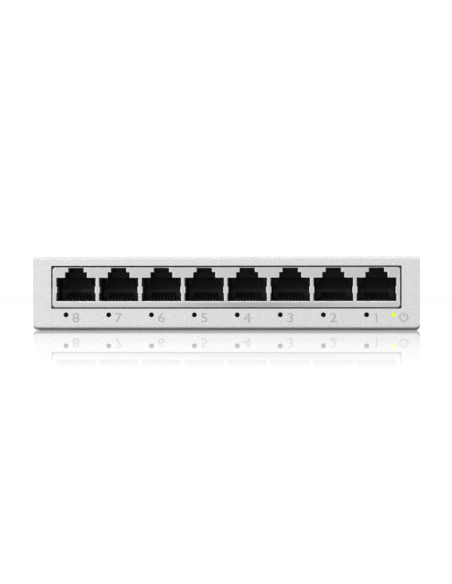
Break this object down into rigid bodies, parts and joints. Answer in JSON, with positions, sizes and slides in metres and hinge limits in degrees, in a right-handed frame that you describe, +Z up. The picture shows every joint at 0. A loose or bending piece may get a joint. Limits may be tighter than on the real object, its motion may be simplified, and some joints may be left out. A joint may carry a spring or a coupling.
{
  "type": "desktop network switch",
  "caption": "Small desktop Ethernet switch: folded steel case, a row of shielded modular sockets across the front with indicator lights below, and a barrel power socket behind.",
  "frame": {"origin": "on the table surface, under the middle of the case", "axes": "+X towards the power-light end, the ports face -Y, +Z up"},
  "size_m": [0.1258, 0.07, 0.0239],
  "materials": {
    "case_paint": "fine textured silver-grey powder coat",
    "foot_rubber": "matt black rubber",
    "screw_steel": "nickel plated",
    "standoff_brass": "machined",
    "insulator_film": "satin film",
    "label_film": "satin",
    "board_green": "solder mask",
    "port_plastic": "moulded black",
    "shield_metal": "nickel plated sheet",
    "insert_plastic": "moulded dark grey",
    "contact_gold": "gold plated spring wire",
    "led_plastic": "cast resin",
    "power_led_glow": "lit lime resin",
    "chip_plastic": "moulded epoxy",
    "pad_silicone": "soft silicone",
    "sink_aluminium": "extruded, clear anodised",
    "bright_metal": "bright tinned metal",
    "ferrite": "pressed ferrite",
    "fuse_body": "resin",
    "ceramic": "fired ceramic"
  },
  "bodies": {
    "case": {"top_cover": "case_paint", "base_tray": "case_paint", "foot_front_left": "foot_rubber", "foot_front_right": "foot_rubber", "foot_rear_left": "foot_rubber", "foot_rear_right": "foot_rubber", "cover_screws": "screw_steel", "board_standoffs": "standoff_brass", "board_screws": "screw_steel", "insulating_sheet": "insulator_film", "rating_label": "label_film", "main_board": "board_green", "port_housing": "port_plastic", "port_shield": "shield_metal", "contact_insert_1": "insert_plastic", "contact_insert_2": "insert_plastic", "contact_insert_3": "insert_plastic", "contact_insert_4": "insert_plastic", "contact_insert_5": "insert_plastic", "contact_insert_6": "insert_plastic", "contact_insert_7": "insert_plastic", "contact_insert_8": "insert_plastic", "contact_tails": "contact_gold", "light_baffle": "port_plastic", "port_leds": "led_plastic", "power_led": "power_led_glow", "line_transformer_1": "chip_plastic", "line_transformer_2": "chip_plastic", "line_transformer_3": "chip_plastic", "line_transformer_4": "chip_plastic", "switch_chip": "chip_plastic", "thermal_pad": "pad_silicone", "heat_sink": "sink_aluminium", "crystal": "bright_metal", "config_memory": "chip_plastic", "buck_converter": "chip_plastic", "power_inductors": "ferrite", "filter_capacitors": "bright_metal", "input_diode": "chip_plastic", "input_fuse": "fuse_body", "chip_capacitors": "ceramic", "chip_resistors": "chip_plastic", "jack_body": "port_plastic", "jack_pin": "bright_metal", "jack_terminals": "bright_metal"},
    "port_1_contacts": {"contact_arms_1": "contact_gold"},
    "port_2_contacts": {"contact_arms_2": "contact_gold"},
    "port_3_contacts": {"contact_arms_3": "contact_gold"},
    "port_4_contacts": {"contact_arms_4": "contact_gold"},
    "port_5_contacts": {"contact_arms_5": "contact_gold"},
    "port_6_contacts": {"contact_arms_6": "contact_gold"},
    "port_7_contacts": {"contact_arms_7": "contact_gold"},
    "port_8_contacts": {"contact_arms_8": "contact_gold"},
    "power_jack_leaf": {"jack_spring": "bright_metal"}
  },
  "joints": [
    {"name": "port_1_contact_press", "type": "hinge", "parent": "case", "child": "port_1_contacts", "pos_m": [0.0489, -0.03145, 0.0099], "axis": [-1, 0, 0], "range_deg": [0, 7], "stiffness_Nm_per_rad": 0.2},
    {"name": "port_2_contact_press", "type": "hinge", "parent": "case", "child": "port_2_contacts", "pos_m": [0.03492, -0.03145, 0.0099], "axis": [-1, 0, 0], "range_deg": [0, 7], "stiffness_Nm_per_rad": 0.2},
    {"name": "port_3_contact_press", "type": "hinge", "parent": "case", "child": "port_3_contacts", "pos_m": [0.02096, -0.03145, 0.0099], "axis": [-1, 0, 0], "range_deg": [0, 7], "stiffness_Nm_per_rad": 0.2},
    {"name": "port_4_contact_press", "type": "hinge", "parent": "case", "child": "port_4_contacts", "pos_m": [0.00698, -0.03145, 0.0099], "axis": [-1, 0, 0], "range_deg": [0, 7], "stiffness_Nm_per_rad": 0.2},
    {"name": "port_5_contact_press", "type": "hinge", "parent": "case", "child": "port_5_contacts", "pos_m": [-0.00698, -0.03145, 0.0099], "axis": [-1, 0, 0], "range_deg": [0, 7], "stiffness_Nm_per_rad": 0.2},
    {"name": "port_6_contact_press", "type": "hinge", "parent": "case", "child": "port_6_contacts", "pos_m": [-0.02096, -0.03145, 0.0099], "axis": [-1, 0, 0], "range_deg": [0, 7], "stiffness_Nm_per_rad": 0.2},
    {"name": "port_7_contact_press", "type": "hinge", "parent": "case", "child": "port_7_contacts", "pos_m": [-0.03492, -0.03145, 0.0099], "axis": [-1, 0, 0], "range_deg": [0, 7], "stiffness_Nm_per_rad": 0.2},
    {"name": "port_8_contact_press", "type": "hinge", "parent": "case", "child": "port_8_contacts", "pos_m": [-0.0489, -0.03145, 0.0099], "axis": [-1, 0, 0], "range_deg": [0, 7], "stiffness_Nm_per_rad": 0.2},
    {"name": "power_jack_leaf_press", "type": "hinge", "parent": "case", "child": "power_jack_leaf", "pos_m": [0.044, 0.0232, 0.0105], "axis": [-1, 0, 0], "range_deg": [0, 5], "stiffness_Nm_per_rad": 0.1}
  ]
}
